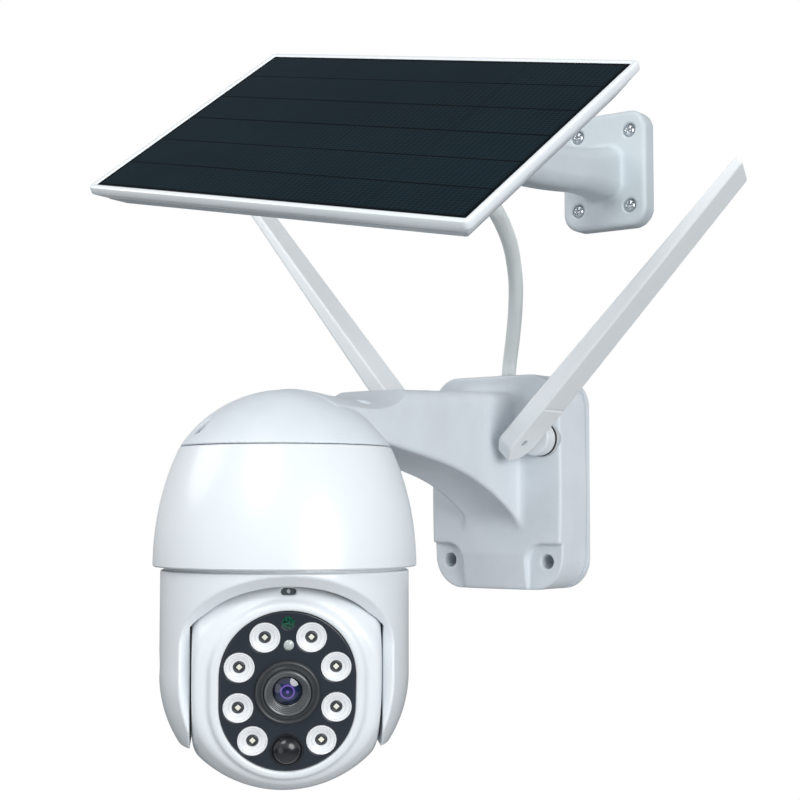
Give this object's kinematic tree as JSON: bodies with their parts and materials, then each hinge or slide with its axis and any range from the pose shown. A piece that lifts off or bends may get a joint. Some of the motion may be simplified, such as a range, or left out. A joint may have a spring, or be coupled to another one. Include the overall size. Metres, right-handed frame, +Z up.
{
  "type": "solar-powered pan and tilt security camera",
  "caption": "Pan and tilt dome security camera on a wall arm, with ball head, infrared lamps, paddle antennas and a tilting solar panel on its own wall bracket",
  "frame": {"origin": "centre of the wall box's four screw holes, on the wall plane", "axes": "+Z up, +Y into the wall, +X to the right as seen by someone facing the wall; the object reaches out along -Y"},
  "size_m": [0.279, 0.2565, 0.3138],
  "materials": {
    "white_plastic": "satin moulded",
    "painted_white": "satin powder coat",
    "grey_plastic": "matte moulded",
    "black_plastic": "gloss",
    "black_rubber": "matte",
    "battery_wrap": "gloss shrink wrap",
    "circuit_board": "lacquered",
    "steel": "bright",
    "brass": "turned",
    "reflector": "bright",
    "led_chip": "matte",
    "lens_glass": "coated, gloss",
    "green_window": "gloss",
    "milky_sensor": "gloss",
    "panel_glass": "polished",
    "solar_cell": "dark blue black",
    "cable_jacket": "matte"
  },
  "bodies": {
    "camera_base": {"arm_housing": "white_plastic", "back_plate": "grey_plastic", "back_gasket": "black_rubber", "battery_cells": "battery_wrap", "charge_board": "circuit_board", "box_gland": "grey_plastic", "dome_shell": "white_plastic", "cap_screws": "steel", "pan_chassis": "grey_plastic", "pan_bearing": "brass", "pan_motor": "steel", "antenna_base_right": "grey_plastic", "antenna_base_left": "grey_plastic", "panel_bracket": "painted_white", "bracket_screws": "steel", "turn_screw": "black_plastic", "panel_cable_lower": "cable_jacket"},
    "pinion": {"pan_pinion": "brass"},
    "yoke": {"yoke_shell": "white_plastic", "pan_gear": "grey_plastic", "pan_spindle": "steel", "spindle_nut": "steel", "tilt_bush": "brass", "tilt_shaft": "steel"},
    "head": {"head_front": "white_plastic", "head_rear": "white_plastic", "face_panel": "black_plastic", "led_reflectors": "reflector", "led_chips": "led_chip", "led_board": "circuit_board", "lens_barrel": "black_plastic", "lens_ring": "black_plastic", "lens_glass": "lens_glass", "pir_dome": "black_plastic", "status_window": "green_window", "light_sensor": "milky_sensor", "main_board": "circuit_board", "speaker": "black_plastic", "tilt_motor": "steel", "tilt_pin": "steel", "head_screws": "steel"},
    "antenna_swivel_right": {"antenna_knuckle_right": "white_plastic", "antenna_pin_right": "steel"},
    "antenna_right": {"antenna_blade_right": "white_plastic"},
    "antenna_swivel_left": {"antenna_knuckle_left": "white_plastic", "antenna_pin_left": "steel"},
    "antenna_left": {"antenna_blade_left": "white_plastic"},
    "panel_swivel": {"panel_knuckle": "painted_white", "tilt_bolt": "steel", "tilt_nut": "steel"},
    "panel": {"panel_lug": "grey_plastic", "lug_screws": "steel", "panel_frame": "white_plastic", "panel_glass": "panel_glass", "solar_cells": "solar_cell", "panel_back": "grey_plastic", "junction_box": "grey_plastic", "panel_gland": "grey_plastic", "panel_cable_upper": "cable_jacket"}
  },
  "joints": [
    {"name": "pan", "type": "hinge", "parent": "camera_base", "child": "yoke", "pos_m": [0, -0.185, -0.03], "axis": [0, 0, 1], "range_deg": [-219, 135]},
    {"name": "pan_motor_turn", "type": "hinge", "parent": "camera_base", "child": "pinion", "pos_m": [0, -0.157, -0.015], "axis": [0, 0, 1], "range_deg": [-810, 810]},
    {"name": "tilt", "type": "hinge", "parent": "yoke", "child": "head", "pos_m": [0, -0.185, -0.075], "axis": [0.7431, 0.6691, 0], "range_deg": [-22.5, 77.5]},
    {"name": "antenna_right_turn", "type": "hinge", "parent": "camera_base", "child": "antenna_swivel_right", "pos_m": [0.028, -0.035, 0.0203], "axis": [0, 1, 0], "range_deg": [-20, 45]},
    {"name": "antenna_right_fold", "type": "hinge", "parent": "antenna_swivel_right", "child": "antenna_right", "pos_m": [0.028, -0.0503, 0.0203], "axis": [0.7071, 0, -0.7071], "range_deg": [0, 60]},
    {"name": "antenna_left_turn", "type": "hinge", "parent": "camera_base", "child": "antenna_swivel_left", "pos_m": [-0.028, -0.035, 0.0203], "axis": [0, -1, 0], "range_deg": [-20, 45]},
    {"name": "antenna_left_fold", "type": "hinge", "parent": "antenna_swivel_left", "child": "antenna_left", "pos_m": [-0.028, -0.0503, 0.0203], "axis": [0.766, 0, 0.6428], "range_deg": [0, 60]},
    {"name": "panel_turn", "type": "hinge", "parent": "camera_base", "child": "panel_swivel", "pos_m": [0.0505, -0.127, 0.1417], "axis": [0, 1, 0], "range_deg": [-35, 20], "deforming": ["panel_cable_lower"]},
    {"name": "panel_tilt", "type": "hinge", "parent": "panel_swivel", "child": "panel", "pos_m": [0.0505, -0.151, 0.1417], "axis": [0.9836, 0, -0.1805], "range_deg": [-30, 37], "deforming": ["panel_cable_upper"]}
  ],
  "couplings": [
    {"joint": "pan_motor_turn", "follows": "pan", "ratio": -3.6667}
  ]
}
